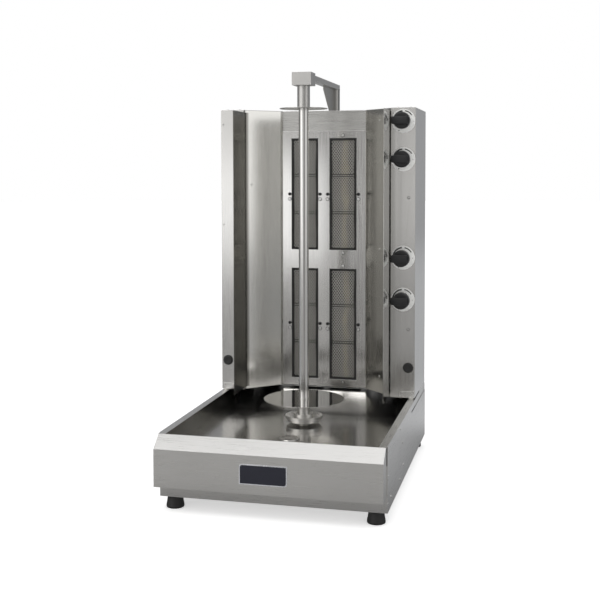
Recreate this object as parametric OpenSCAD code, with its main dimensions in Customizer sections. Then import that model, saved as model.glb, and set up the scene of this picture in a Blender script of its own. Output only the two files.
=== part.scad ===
// Upright gas roasting grill with a turning spit.
// A base with a sunken drip tray carries a burner tower that slides towards the spit.
// A post behind the base holds an arm, and the arm's sleeve steadies the top of the spit.
// X runs to the right, Y to the back and Z up; the origin is under the middle, on the floor.

/* [Base] */
// Width of the base
base_w = 700; // [580:5:840]
// Depth of the base, front plane to back plane
base_d = 908; // [750:2:1090]
// Height of the base from its underside to its rim
base_h = 197; // [160:1:240]
// Height of a rubber foot
foot_h = 39; // [25:1:60]
// Diameter of a foot at the floor
foot_d = 55; // [40:1:60]
// Inset of each foot's axis from the sides
foot_inset_x = 38; // [36:1:60]
// Inset of each foot's axis from the front and the back
foot_inset_y = 31; // [30:1:60]
// Thickness of the steel sheet
sheet = 1.5; // [1:0.1:2]
// Width of the flat rim beside the tray
rim_w = 24; // [22:1:40]
// Width of the flanges that the side panels turn in at the front and below
side_flange = 20; // [16:1:30]

/* [Front apron] */
// How far the apron stands in front of the base
apron_reach = 60; // [50:1:90]
// Height of the apron
apron_h = 151; // [120:1:170]
// Drop of the apron's sloping top
slope_drop = 36; // [20:1:60]
// Depth of the flat strip between the base front and the slope
apron_lip = 17; // [12:1:30]
// Width of the blank badge
badge_w = 145; // [80:1:200]
// Height of the blank badge
badge_h = 60; // [30:1:70]
// Thickness of the badge
badge_t = 2; // [1:0.5:3]
// Drop from the rim to the badge's middle
badge_drop = 92; // [75:1:110]
// Sideways shift of the badge's middle
badge_shift = -7; // [-60:1:60]

/* [Drip tray] */
// Depth of the tray floor below the rim
tray_depth = 55; // [45:1:70]
// Distance from the foot of the tray's rear ramp back to the tower front
ramp_lead = 55; // [40:1:80]
// Length of the ramp in plan
ramp_run = 190; // [150:5:200]
// Outer radius of the collar round the drive shaft
collar_r = 22; // [20:0.5:26]
// Height of the collar
collar_h = 7; // [4:0.5:9]

/* [Burner tower] */
// Inset of the tower from the base's sides
tower_inset = 1; // [1:0.5:4]
// Distance from the tower's back to the base's back
tower_setback = 8; // [4:1:20]
// Depth of the tower
tower_d = 290; // [250:5:290]
// Gap between the tower and the rim
tower_gap = 5; // [4:0.5:8]
// Width of each side box
box_w = 84.5; // [80:0.5:102]
// Distance from the tower front back to the burner panel
panel_back = 125.5; // [110:0.5:140]
// Width of the burner panel
panel_w = 307; // [300:1:330]
// Height of the plain band over the burner panel
header_h = 73; // [60:1:80]
// How far the tower slides towards the spit
tower_travel = 100; // [40:5:100]
// Height of the runners below the rim
runner_h = 27; // [20:1:40]

/* [Side wings] */
// Width of the wing's leg on the reflector
wing_leg = 80; // [60:1:80]
// Depth of the wing's forward flange
wing_flange = 153; // [80:1:160]
// Gap from the tower's underside and top to the wing
wing_inset = 9; // [5:1:20]
// Distance along the reflector from its outer edge to the left wing
wing_left_gap = 2; // [2:1:24]
// Distance along the reflector from its outer edge to the right wing
wing_right_gap = 2; // [2:1:24]
// Corner radius of the wing's leg
wing_corner = 12; // [4:1:20]

/* [Burners] */
// Width of a burner window
window_w = 99.5; // [80:0.5:105]
// Gap between the two columns of windows
column_gap = 42; // [38:1:60]
// Height of the lowest window edge above the tower's underside
window_sill = 27; // [20:1:40]
// Gap between the two rows of windows
row_gap = 68; // [60:1:90]
// Height of the panel above the upper windows
window_head = 26; // [20:1:40]
// Height that a window leaves free above and below its tiles
window_lip = 3.5; // [2:0.5:6]
// Width of a ceramic tile
tile_w = 92; // [70:1:95]
// Height of a ceramic tile
tile_h = 132; // [100:1:132]
// Thickness of a ceramic tile
tile_t = 13; // [10:1:20]
// Gap between two tiles
tile_joint = 1; // [0.5:0.1:2]
// Number of tiles in a burner
tile_count = 3; // [2:1:4]
// Depth of a burner housing
housing_d = 55; // [40:1:70]

/* [Spit and drive] */
// Distance from the spit axis back to the tower front
spit_lead = 187; // [160:1:250]
// Outer diameter of the spit tube
spit_d = 33.4; // [27:0.1:41]
// Wall of the spit tube
spit_wall = 3.4; // [2:0.1:4]
// Diameter of the meat plate
plate_d = 269; // [200:1:300]
// Thickness of the meat plate
plate_t = 2; // [1.5:0.1:4]
// Height of the meat plate's upper face above the rim
plate_level = 28.4; // [24:0.1:50]
// Diameter of the hub over the drive flange
hub_d = 43; // [40:0.5:50]
// Diameter of the drive flange
flange_d = 124; // [100:1:140]
// Thickness of the drive flange
flange_t = 18; // [14:1:24]
// Height of the flange's underside above the tray floor
flange_clear = 10; // [9:1:20]
// Width across the square tongue of the spit
tongue_w = 20; // [16:0.5:21]
// Depth of the square socket in the hub
socket_depth = 34; // [20:1:34]
// Diameter of the drive shaft
shaft_d = 25; // [20:1:28]

/* [Post and arm] */
// Outer diameter of the post
post_d = 38; // [32:1:42]
// Wall of the post
post_wall = 2.5; // [2:0.5:4]
// Gap between the base back and the post
post_gap = 3; // [2:0.5:6]
// Height of the arm's top above the tower
arm_rise = 108; // [80:1:200]
// Width of the arm
arm_w = 32; // [25:1:38]
// Height of the arm
arm_h = 18; // [16:1:30]
// Width and depth of the head block
head_w = 65; // [60:1:80]
// Height of the head block
head_h = 42.5; // [36:0.5:60]
// Wall of the sleeve
sleeve_wall = 3.4; // [2.4:0.1:6]
// Length of the sleeve
sleeve_l = 75; // [60:1:90]
// Diameter of the heat shield disc under the sleeve
shield_d = 159; // [120:1:180]

/* [Controls] */
// Heights of the knobs above the top edges of the windows that they serve
knob_levels = [-89, 56, -78, 53]; // [-100:1:60]
// Distance of the knob axes from the tower's right side
knob_inset = 42.5; // [42:0.5:44]
// Diameter of a knob
knob_d = 58; // [50:1:62]
// Distance from the box front to the knob's face
knob_reach = 56; // [50:1:62]
// Thickness of the knob's disc
knob_t = 25; // [18:1:28]
// Diameter of a dial plate
dial_d = 82; // [70:1:84]
// Thickness of a dial plate
dial_t = 2.5; // [1.5:0.5:4]
// Diameter of a valve stem
stem_d = 8; // [6:0.5:9]
// How far a knob can be pushed in
knob_travel = 4; // [2:0.5:4]

/* [Fits] */
// Radial clearance of a shaft that turns in its bore
run_gap = 0.06; // [0.02:0.01:0.1]
// Radial clearance of the spit in the sleeve, which a bush fills
sleeve_gap = 1; // [0.5:0.1:3]
// Clearance between flat faces that slide
slide_gap = 0.5; // [0.3:0.1:1]
// Clearance round the spit's square tongue
tongue_gap = 0.25; // [0.1:0.05:0.5]

/* [Hidden] */
$fn = 96;

// Reference planes
total_d = badge_t + apron_reach + base_d + post_gap + post_d;
y_front = badge_t + apron_reach - total_d / 2;
y_back = y_front + base_d;
z_rim = foot_h + base_h;
x_side = base_w / 2;
x_wall = x_side - rim_w;
z_floor = z_rim - tray_depth;

// Burner stack, which sets the tower's height
stack_h = tile_count * tile_h + (tile_count - 1) * tile_joint;
window_h = stack_h + 2 * window_lip;
tower_h = tower_gap + window_sill + 2 * window_h + row_gap + window_head + header_h;

// Tower planes
tower_front = base_d - tower_d - tower_setback;
ramp_start = tower_front - ramp_lead;
y_tower = y_front + tower_front;
y_tower_back = y_tower + tower_d;
spit_y = y_tower - spit_lead;
z_tower = z_rim + tower_gap;
z_top = z_rim + tower_h;
x_tower = x_side - tower_inset;
x_box = x_tower - box_w;
y_panel = y_tower + panel_back;
wall_top = z_top - sheet;

// Reflectors run straight from the panel's edge to the side boxes
reflector_step = 12;
reflector_mouth = 15;
reflector_in = [panel_w / 2 + 6, y_panel - reflector_step];
reflector_out = [x_box - sheet, y_tower + reflector_mouth];
reflector_run = reflector_out - reflector_in;
reflector_len = norm(reflector_run);
reflector_angle = atan2(reflector_run[1], reflector_run[0]);
wing_left_offset = reflector_len - wing_left_gap - wing_leg;
wing_right_offset = reflector_len - wing_right_gap - wing_leg;

// Runners slide inside the rims of the base
runner_notch = tower_front + 30;
runner_slot_h = 5;
runner_lap = 5;
runner_x = x_side - sheet - slide_gap;
runner_rise = y_tower + tower_travel + 40;

// Burner windows
window_x = column_gap / 2 + window_w / 2;
window_zs = [for (row = [0:1]) z_tower + window_sill + window_h / 2 + row * (window_h + row_gap)];
WINDOWS = [for (z = window_zs, side = [-1, 1]) [side * window_x, z]];
screen_back = 2;
screen_t = 1;
tile_back = 8;
tile_ledge = 6;
housing_rim = 6;
y_burner = y_panel + 2 * sheet;

// Spit and drive heights
z_plate = z_rim + plate_level;
z_hub_top = z_plate - plate_t - 0.2;
z_flange = z_floor + flange_clear;
z_boss = z_flange + flange_t;
boss_h = 6;
z_socket = z_hub_top - socket_depth;
z_bearing = z_floor - sheet - 0.5;
bearing_h = 9;
bracket_t = 3;
z_bracket = z_bearing - bearing_h;
gearbox_h = 58;
z_gearbox = z_bracket - bracket_t - gearbox_h;
z_pan = foot_h + sheet;
shaft_seat = 14;
shaft_foot = 18;

// Post and arm heights
post_y = y_back + post_gap + post_d / 2;
z_arm = z_top + arm_rise;
z_head = z_arm - head_h;
z_sleeve = z_head - sleeve_l;
sleeve_bore_r = spit_d / 2 + sleeve_gap;
sleeve_r = sleeve_bore_r + sleeve_wall;
shield_t = 2;
spit_top = z_head - 30;
bush_margin = 3;

// Controls
knob_x = x_tower - knob_inset;
KNOB_ZS = [for (i = [0:3]) window_zs[floor(i / 2)] + window_h / 2 + knob_levels[i]];
valve_d = 52;
valve_w = 28;
valve_front = y_tower + sheet + 1.5;
knob_back = y_tower - dial_t - knob_travel - slide_gap;
knob_face = y_tower - knob_reach;
knob_collar_r = 17;
grip_w = 20;
grip_h = 10;
grip_tip = knob_d / 2 + 4;
stem_tip = knob_face + 12;
pipe_r = 5;
pipe_y = y_tower_back - 70;
PIPE_DROPS = [-60, -95, -60, -95];
rail_w = 20;
rail_x = knob_x + valve_w / 2 + rail_w / 2;
inlet_z = z_tower + 60;
inlet_r = 10.48;

// Small parts
stud_r = 5;
washer_r = 15;
gland_r = 10;
gland_x = -x_side + 120;
gland_z = foot_h + 60;
seal_r = collar_r - 3;
screw_r = 5.5;
rivet_r = 4;
plug_r = 18;
plug_z = z_rim + 110;
wing_screw_z = z_tower + 60;
wing_screw_pitch = (z_top - z_tower - 100) / 4;
bracket_w = 51;
bracket_h = 19;
LOW_RIVETS = [[65, 30], [250, 25], [328, 50]];
HIGH_RIVETS = [[257, 14], [310, 70]];

// Extrudes a side outline, given as [y, z] points, between two x planes.
module side_profile(points, x0, x1) {
    translate([x0, 0, 0])
        rotate([90, 0, 90])
            linear_extrude(height = x1 - x0)
                polygon(points);
}

// A block given by its lowest and highest corners.
module block(low, high) {
    translate(low)
        cube(high - low);
}

// A cylinder that lies along Y from y0 to y1.
module rod_y(x, z, r, y0, y1) {
    translate([x, y1, z])
        rotate([90, 0, 0])
            cylinder(r = r, h = y1 - y0);
}

// A cylinder that lies along X from x0 to x1.
module rod_x(y, z, r, x0, x1) {
    translate([x0, y, z])
        rotate([0, 90, 0])
            cylinder(r = r, h = x1 - x0);
}

// An upright cylinder between two heights.
module rod_z(x, y, r, z0, z1) {
    translate([x, y, z0])
        cylinder(r = r, h = z1 - z0);
}

// Copies its children to both sides of the middle plane.
module both_sides() {
    children();
    mirror([1, 0, 0]) children();
}

// One side panel of the base: skin, rim, front flange and bottom flange.
module base_side() {
    x_skin = x_side - sheet;
    slot_front = tower_front - tower_travel + 15;
    rail_end = y_front + runner_notch - 4;
    difference() {
        block([x_skin, y_front, foot_h], [x_side, y_back, z_rim]);
        block([x_skin - 1, y_front + runner_notch, z_rim - runner_h], [x_side + 1, y_back + 1, z_rim + 1]);
        block([x_skin - 1, rail_end, z_rim - runner_h + 1], [x_side + 1, y_back, z_rim + 1]);
        block([x_skin - 1, y_front + slot_front, z_rim - runner_h],
              [x_side + 1, y_back, z_rim - runner_h + runner_slot_h]);
    }
    block([x_wall, y_front - apron_lip, z_rim - sheet], [x_skin, rail_end, z_rim]);
    block([x_side - side_flange, y_front, foot_h], [x_skin, y_front + sheet, z_floor - 2 * sheet]);
    block([x_side - side_flange, y_front + sheet, foot_h], [x_skin, y_back - sheet, foot_h + sheet]);
}

module base_side_left() {
    color("silver") mirror([1, 0, 0]) base_side();
}

module base_side_right() {
    color("silver") base_side();
}

module base_front_panel() {
    x_edge = x_side - side_flange;
    color("silver")
        block([-x_edge, y_front, foot_h], [x_edge, y_front + sheet, z_floor - 2 * sheet]);
}

module base_back_panel() {
    color("silver")
        difference() {
            block([-x_side + sheet, y_back - sheet, foot_h], [x_side - sheet, y_back, z_rim]);
            rod_y(gland_x, gland_z, gland_r, y_back - 10, y_back + 10);
        }
}

module base_bottom_pan() {
    x_edge = x_side - sheet;
    y0 = y_front + sheet;
    y1 = y_back - sheet;
    color("gray")
        difference() {
            block([-x_edge, y0, z_pan], [x_edge, y1, z_pan + sheet]);
            for (x = [-180:90:180], y = [y0 + 170, y0 + 250])
                rod_z(x, y, 12, z_pan - 1, z_pan + 5);
            foot_places() rod_z(0, 0, stud_r, z_pan - 1, z_pan + 5);
        }
}

// Deck behind the tray, on which the tower's rear pads slide.
module rear_deck() {
    x_edge = x_side - 5;
    y0 = y_front + ramp_start + ramp_run + 2;
    color("silver")
        block([-x_edge, y0, z_rim - sheet], [x_edge, y_back - sheet, z_rim]);
}

// Sunken tray with a rear ramp and a collar round the drive shaft.
module drip_tray() {
    y0 = y_front - apron_lip + 2;
    y1 = y_front + ramp_start;
    y2 = y1 + ramp_run;
    top = z_rim - sheet;
    color("lightgray")
        difference() {
            union() {
                difference() {
                    side_profile([[y0 - sheet, top], [y0 - sheet, z_floor - sheet], [y1, z_floor - sheet],
                                  [y2, top - sheet], [y2 + 15, top - sheet], [y2 + 15, top]],
                                 -x_wall - sheet, x_wall + sheet);
                    side_profile([[y0, top + 5], [y0, z_floor], [y1, z_floor], [y2, top], [y2, top + 5]],
                                 -x_wall, x_wall);
                }
                rod_z(0, spit_y, collar_r, z_floor - sheet, z_floor + collar_h);
            }
            rod_z(0, spit_y, seal_r, z_floor - 10, z_floor + collar_h + 1);
        }
}

// Folded front apron: slope, face, lower return and two end plates.
module front_apron() {
    x_edge = x_side - 3;
    y0 = y_front - apron_reach;
    y_top = y_front - apron_lip;
    z_low = z_rim - apron_h;
    color("silver")
        difference() {
            side_profile([[y_top, z_rim], [y0, z_rim - slope_drop], [y0, z_low], [y_front, z_low],
                          [y_front, z_rim - sheet], [y_top, z_rim - sheet]], -x_edge, x_edge);
            side_profile([[y_top + 0.4, z_rim - sheet - 1], [y0 + sheet, z_rim - slope_drop - 0.8],
                          [y0 + sheet, z_low + sheet], [y_front + 1, z_low + sheet],
                          [y_front + 1, z_rim - sheet - 1]], -x_edge + sheet, x_edge - sheet);
            block([-x_wall - sheet, y_top + 0.5, z_rim - 30], [x_wall + sheet, y_front + 1, z_rim + 1]);
            both_sides()
                block([x_wall, y_top, z_rim - sheet], [x_side, y_front + 1, z_rim + 1]);
        }
}

// Blank badge with its upper left and lower right corners rounded.
module badge_plate() {
    r = 10;
    color("midnightblue")
        translate([badge_shift, y_front - apron_reach, z_rim - badge_drop])
            rotate([90, 0, 0])
                linear_extrude(height = badge_t)
                    union() {
                        square([badge_w - 2 * r, badge_h], center = true);
                        for (s = [-1, 1]) {
                            translate([s * (badge_w / 2 - r), -s * (badge_h / 2 - r)]) circle(r = r);
                            translate([s * (badge_w / 2 - r / 2), s * r / 2])
                                square([r, badge_h - r], center = true);
                        }
                    }
}

// Places its children at the four feet.
module foot_places() {
    for (x = [-1, 1], y = [y_front + foot_inset_y, y_back - foot_inset_y])
        translate([x * (x_side - foot_inset_x), y, 0])
            children();
}

module rubber_feet() {
    r = foot_d / 2;
    color("black")
        foot_places()
            difference() {
                rotate_extrude()
                    polygon([[0, 0], [r - 1.5, 0], [r, 2], [r - 1, 14], [r - 4.5, foot_h - 3],
                             [r - 6.5, foot_h], [0, foot_h]]);
                rod_z(0, 0, stud_r, foot_h - 20, foot_h + 1);
            }
}

module foot_studs() {
    color("dimgray")
        foot_places() {
            rod_z(0, 0, stud_r, foot_h - 20, z_pan + sheet + 10);
            rod_z(0, 0, washer_r, foot_h, z_pan);
            translate([0, 0, z_pan + sheet])
                cylinder(r = 9, h = 6, $fn = 6);
        }
}

// Bridge over the base pan that carries the gearbox and the bearing.
module motor_bracket() {
    half_x = 100;
    half_y = 70;
    leg_x = half_x - bracket_t;
    z0 = z_pan + sheet;
    color("dimgray")
        difference() {
            union() {
                block([-half_x, spit_y - half_y, z_bracket - bracket_t],
                      [half_x, spit_y + half_y, z_bracket]);
                both_sides() {
                    block([leg_x, spit_y - half_y, z0], [half_x, spit_y + half_y, z_bracket]);
                    block([half_x, spit_y - half_y, z0], [half_x + 25, spit_y + half_y, z0 + bracket_t]);
                }
            }
            rod_z(0, spit_y, shaft_d / 2 + 4, z_bracket - 10, z_bracket + 1);
        }
}

module gearbox() {
    color("slategray")
        difference() {
            union() {
                block([-50, spit_y - 45, z_gearbox], [50, spit_y + 65, z_bracket - bracket_t]);
                block([-38, spit_y - 52, z_gearbox + 8], [38, spit_y - 45, z_gearbox + 42]);
            }
            rod_z(0, spit_y, shaft_d / 2 + run_gap, z_gearbox + shaft_foot - 1, z_bracket + 1);
        }
}

module drive_motor() {
    y0 = spit_y + 65;
    z_mid = z_gearbox + 20;
    color("darkslategray") {
        rod_y(0, z_mid, 38, y0, y0 + 12);
        rod_y(0, z_mid, 33, y0 + 12, y0 + 112);
        rod_y(0, z_mid, 36, y0 + 112, y0 + 140);
    }
}

module shaft_bearing() {
    color("gray")
        difference() {
            rod_z(0, spit_y, 30, z_bracket, z_bearing);
            rod_z(0, spit_y, shaft_d / 2 + run_gap, z_bracket - 1, z_bearing + 1);
        }
}

module shaft_seal() {
    color("black")
        difference() {
            rod_z(0, spit_y, seal_r, z_floor - sheet, z_floor + collar_h - 1);
            rod_z(0, spit_y, shaft_d / 2 + run_gap, z_floor - 10, z_floor + collar_h);
        }
}

// Upright tube behind the base, closed at the foot.
module support_post() {
    r = post_d / 2;
    color("silver")
        difference() {
            rod_z(0, post_y, r, foot_h + 6, z_arm - arm_h);
            rod_z(0, post_y, r - post_wall, foot_h + 10, z_arm);
        }
}

// Two clamps that hold the post to the base's back.
module post_brackets() {
    r = post_d / 2;
    color("gray")
        for (z = [foot_h + 30, z_rim - runner_h - 50])
            difference() {
                union() {
                    block([-45, y_back, z], [45, y_back + post_gap, z + 30]);
                    block([-r - 6, y_back, z], [r + 6, post_y, z + 30]);
                    for (x = [-34, 34])
                        rod_y(x, z + 15, 7, y_back, y_back + post_gap + 5);
                }
                rod_z(0, post_y, r, z - 1, z + 31);
            }
}

module support_arm() {
    y0 = spit_y + head_w / 2;
    y1 = post_y + post_d / 2;
    wall = 2;
    color("silver")
        difference() {
            block([-arm_w / 2, y0, z_arm - arm_h], [arm_w / 2, y1, z_arm]);
            block([-arm_w / 2 + wall, y0 - 1, z_arm - arm_h + wall],
                  [arm_w / 2 - wall, y1 - wall, z_arm - wall]);
        }
}

// Web under the arm, cut away above the tower's roof.
module arm_web() {
    web_t = 5;
    y1 = post_y - post_d / 2;
    y0 = y1 - 178;
    z1 = z_arm - arm_h;
    z0 = z_top + 4;
    color("silver")
        side_profile([[y0, z1], [y0, z1 - 13], [y0 + 100, z0], [y1, z0], [y1, z1]], -web_t / 2, web_t / 2);
}

module head_block() {
    r = head_w / 2;
    color("silver")
        difference() {
            block([-r, spit_y - r, z_head], [r, spit_y + r, z_arm]);
            rod_z(0, spit_y, sleeve_bore_r, z_head - 1, z_arm - 8);
        }
}

module head_sleeve() {
    color("silver")
        difference() {
            rod_z(0, spit_y, sleeve_r, z_sleeve, z_head);
            rod_z(0, spit_y, sleeve_bore_r, z_sleeve - 1, z_head + 1);
        }
}

module sleeve_bush() {
    color("darkgoldenrod")
        difference() {
            rod_z(0, spit_y, sleeve_bore_r, z_sleeve + bush_margin, z_head - bush_margin);
            rod_z(0, spit_y, spit_d / 2 + run_gap, z_sleeve, z_head);
        }
}

module heat_shield_disc() {
    color("silver")
        difference() {
            rod_z(0, spit_y, shield_d / 2, z_sleeve - shield_t, z_sleeve);
            rod_z(0, spit_y, sleeve_bore_r, z_sleeve - 5, z_sleeve + 1);
        }
}

module cable_gland() {
    color("black")
        difference() {
            union() {
                rod_y(gland_x, gland_z, gland_r, y_back - sheet - 8, y_back + 4);
                translate([gland_x, y_back + 8, gland_z])
                    rotate([90, 0, 0]) cylinder(r = 14, h = 8, $fn = 6);
                rod_y(gland_x, gland_z, 11.5, y_back + 8, y_back + 22);
            }
            rod_y(gland_x, gland_z, 4.5, y_back - 20, y_back + 30);
        }
}

module base_rivets() {
    color("gray")
        both_sides() {
            for (p = LOW_RIVETS)
                rod_x(y_front + p[0], foot_h + p[1], rivet_r, x_side, x_side + 1.5);
            for (p = HIGH_RIVETS)
                rod_x(y_front + p[0], z_rim - p[1], rivet_r, x_side, x_side + 1.5);
        }
}

module drive_shaft() {
    color("lightgray")
        rod_z(0, spit_y, shaft_d / 2, z_gearbox + shaft_foot, z_flange + shaft_seat);
}

// Drive flange with a stepped rim, boss, hub and square socket.
module drive_hub() {
    r = flange_d / 2;
    step = flange_t * 0.45;
    color("silver")
        difference() {
            union() {
                rod_z(0, spit_y, r - 4, z_flange, z_flange + step);
                rod_z(0, spit_y, r, z_flange + step, z_boss);
                rod_z(0, spit_y, r * 0.55, z_boss, z_boss + boss_h);
                rod_z(0, spit_y, hub_d / 2, z_boss + boss_h, z_hub_top);
            }
            rod_z(0, spit_y, shaft_d / 2, z_flange - 1, z_flange + shaft_seat);
            half = tongue_w / 2 + tongue_gap;
            block([-half, spit_y - half, z_socket], [half, spit_y + half, z_hub_top + 1]);
        }
}

module spit_tube() {
    r = spit_d / 2;
    color("silver")
        difference() {
            rod_z(0, spit_y, r, z_plate - plate_t, spit_top);
            rod_z(0, spit_y, r - spit_wall, z_plate - plate_t - 1, spit_top - 4);
        }
}

module spit_tongue() {
    half = tongue_w / 2;
    z0 = z_socket + 1;
    color("gray") {
        block([-half, spit_y - half, z0], [half, spit_y + half, z_plate - plate_t]);
        rod_z(0, spit_y, spit_d / 2 - spit_wall, z_plate - plate_t, z_plate + 40);
    }
}

module meat_plate() {
    r = spit_d / 2;
    color("silver")
        difference() {
            union() {
                rod_z(0, spit_y, plate_d / 2, z_plate - plate_t, z_plate);
                rod_z(0, spit_y, r + 2.5, z_plate, z_plate + 4);
            }
            rod_z(0, spit_y, r, z_plate - 10, z_plate + 10);
        }
}

// Side box, open at the back and the top, with its outer face on the right.
module side_box() {
    difference() {
        block([x_box, y_tower, z_tower], [x_tower, y_tower_back - sheet, wall_top]);
        block([x_box + sheet, y_tower + sheet, z_tower + sheet], [x_tower - sheet, y_tower_back, z_top]);
        rod_y(x_tower - 23, plug_z, plug_r - 3, y_tower - 1, y_tower + 10);
    }
}

module tower_box_left() {
    color("silver") mirror([1, 0, 0]) side_box();
}

module control_box() {
    color("silver")
        difference() {
            side_box();
            for (z = KNOB_ZS)
                rod_y(knob_x, z, stem_d / 2 + 3, y_tower - 1, y_tower + 10);
            for (i = [0:3])
                rod_x(pipe_y, KNOB_ZS[i] + PIPE_DROPS[i], pipe_r + 1.5, x_box - 5, x_box + 10);
        }
}

// Runners under the side boxes, which slide behind the rims of the base, and their front plates.
module tower_runners() {
    x0 = runner_x - sheet;
    color("gray")
        both_sides() {
            block([x0, y_front + runner_notch + slide_gap, z_rim - runner_h - runner_lap],
                  [runner_x, y_tower_back - 2, z_rim - sheet - slide_gap]);
            block([x0, runner_rise, z_rim - sheet - slide_gap], [runner_x, y_tower_back - 2, z_tower]);
            block([x_tower - 1 - bracket_w, y_tower - sheet, z_tower + 4],
                  [x_tower - 1, y_tower, z_tower + 4 + bracket_h]);
        }
}

module tower_top_cap() {
    right = [[x_tower, y_tower_back], [x_tower, y_tower], [x_box, y_tower], reflector_out, reflector_in,
             [panel_w / 2, y_panel]];
    left = [for (i = [len(right) - 1:-1:0]) [-right[i][0], right[i][1]]];
    color("silver")
        translate([0, 0, wall_top])
            linear_extrude(height = sheet)
                polygon(concat(right, left));
}

module tower_back_cover() {
    color("silver")
        difference() {
            block([-x_tower, y_tower_back - sheet, z_tower], [x_tower, y_tower_back, wall_top]);
            rod_y(rail_x, inlet_z, inlet_r, y_tower_back - 10, y_tower_back + 1);
            for (x = [-200:50:200], z = [z_tower + 140, z_tower + 170, z_top - 170, z_top - 140])
                block([x - 18, y_tower_back - 10, z], [x + 18, y_tower_back + 1, z + 8]);
        }
}

module burner_panel() {
    x_edge = panel_w / 2;
    color("silver")
        difference() {
            block([-x_edge, y_panel, z_tower], [x_edge, y_panel + sheet, z_top - header_h]);
            for (w = WINDOWS)
                window_block(w, window_w, window_h, y_panel - 1, y_panel + sheet + 1);
        }
}

module header_panel() {
    x_edge = panel_w / 2;
    z0 = z_top - header_h;
    color("silver")
        block([-x_edge, y_panel + sheet, z0 - 12], [x_edge, y_panel + 2 * sheet, wall_top]);
}

// Side reflector: a short return at the panel and a long diagonal face.
module reflector() {
    n = [-reflector_run[1], reflector_run[0]] / reflector_len;
    color("silver")
        translate([0, 0, z_tower])
            linear_extrude(height = wall_top - z_tower)
                polygon([[panel_w / 2, y_panel], reflector_in, reflector_out, reflector_out + n * sheet,
                         reflector_in + n * sheet, [panel_w / 2 + sheet, y_panel + sheet]]);
}

module reflector_left() {
    mirror([1, 0, 0]) reflector();
}

module reflector_right() {
    reflector();
}

// Wing: a leg that lies on the reflector and a flange that points forwards.
module wing(offset) {
    z0 = z_tower + wing_inset;
    h = z_top - wing_inset - z0;
    turn = 90 + reflector_angle;
    corner = [wing_leg, 0];
    tip = corner + wing_flange * [cos(turn), -sin(turn)];
    inward = sheet * [-sin(turn), -cos(turn)];
    color("silver")
        translate([reflector_in[0], reflector_in[1], z0])
            rotate([0, 0, reflector_angle])
                translate([offset, 0, 0])
                    difference() {
                        linear_extrude(height = h)
                            polygon([[0, 0], corner, tip, tip + inward,
                                     corner - [sheet * tan(turn / 2), sheet], [0, -sheet]]);
                        wing_corner_cut(0, 1);
                        wing_corner_cut(h, -1);
                    }
}

// What is cut away to round one inner corner of a wing's leg.
module wing_corner_cut(z, s) {
    r = wing_corner;
    translate([0, sheet, z])
        rotate([90, 0, 0])
            linear_extrude(height = 3 * sheet)
                difference() {
                    translate([-1, s > 0 ? -1 : -r]) square(r + 1);
                    translate([r, s * r]) circle(r = r);
                }
}

module wing_left() {
    mirror([1, 0, 0]) wing(wing_left_offset);
}

module wing_right() {
    wing(wing_right_offset);
}

// Burner body behind each window: an open front, a pocket for the tiles and a plenum behind them.
module burner_housings() {
    y_tile = y_burner + tile_back;
    y_plenum = y_tile + tile_t;
    color("dimgray")
        for (w = WINDOWS)
            difference() {
                window_block(w, window_w + 2 * housing_rim, window_h + 2 * housing_rim,
                             y_burner, y_burner + housing_d);
                window_block(w, window_w, window_h, y_burner - 1, y_tile);
                window_block(w, tile_w, stack_h, y_tile - 1, y_plenum);
                window_block(w, tile_w - 2 * tile_ledge, stack_h - 2 * tile_ledge,
                             y_plenum - 1, y_burner + housing_d - sheet);
            }
}

// A block centred on a window, from one depth to another.
module window_block(w, width, height, y0, y1) {
    block([w[0] - width / 2, y0, w[1] - height / 2], [w[0] + width / 2, y1, w[1] + height / 2]);
}

module burner_tiles() {
    y0 = y_burner + tile_back;
    color("tan")
        for (w = WINDOWS, i = [0:tile_count - 1]) {
            z0 = w[1] - stack_h / 2 + i * (tile_h + tile_joint);
            block([w[0] - tile_w / 2, y0, z0], [w[0] + tile_w / 2, y0 + tile_t, z0 + tile_h]);
        }
}

module burner_screens() {
    y0 = y_burner + screen_back;
    color("gray")
        for (w = WINDOWS)
            window_block(w, window_w, window_h, y0, y0 + screen_t);
}

module gas_valves() {
    color("goldenrod")
        for (z = KNOB_ZS)
            difference() {
                union() {
                    block([knob_x - valve_w / 2, valve_front, z - 14],
                          [knob_x + valve_w / 2, valve_front + valve_d, z + 14]);
                    rod_y(knob_x, z, 9, y_tower + sheet, valve_front);
                }
                rod_y(knob_x, z, stem_d / 2 + run_gap, y_tower, valve_front + 40);
            }
}

// Rail that feeds the valves, its inlet pipe and one pipe to each burner.
module gas_rail() {
    x0 = knob_x + valve_w / 2;
    y1 = y_burner + housing_d;
    color("peru") {
        block([x0, valve_front + 5, z_tower + 50], [x0 + rail_w, valve_front + 5 + rail_w, z_top - 20]);
        rod_y(rail_x, inlet_z, inlet_r - 3, valve_front + rail_w, y_tower_back - sheet - 8);
        for (i = [0:3]) {
            z = KNOB_ZS[i];
            z_pipe = z + PIPE_DROPS[i];
            x_pipe = WINDOWS[2 * floor(i / 2) + (i % 2 == 0 ? 1 : 0)][0];
            rod_y(knob_x, z, pipe_r, valve_front + valve_d, pipe_y);
            translate([knob_x, pipe_y, z]) sphere(r = pipe_r);
            rod_z(knob_x, pipe_y, pipe_r, z_pipe, z);
            translate([knob_x, pipe_y, z_pipe]) sphere(r = pipe_r);
            rod_x(pipe_y, z_pipe, pipe_r, x_pipe, knob_x);
            translate([x_pipe, pipe_y, z_pipe]) sphere(r = pipe_r);
            rod_y(x_pipe, z_pipe, pipe_r, y1, pipe_y);
        }
    }
}

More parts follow.
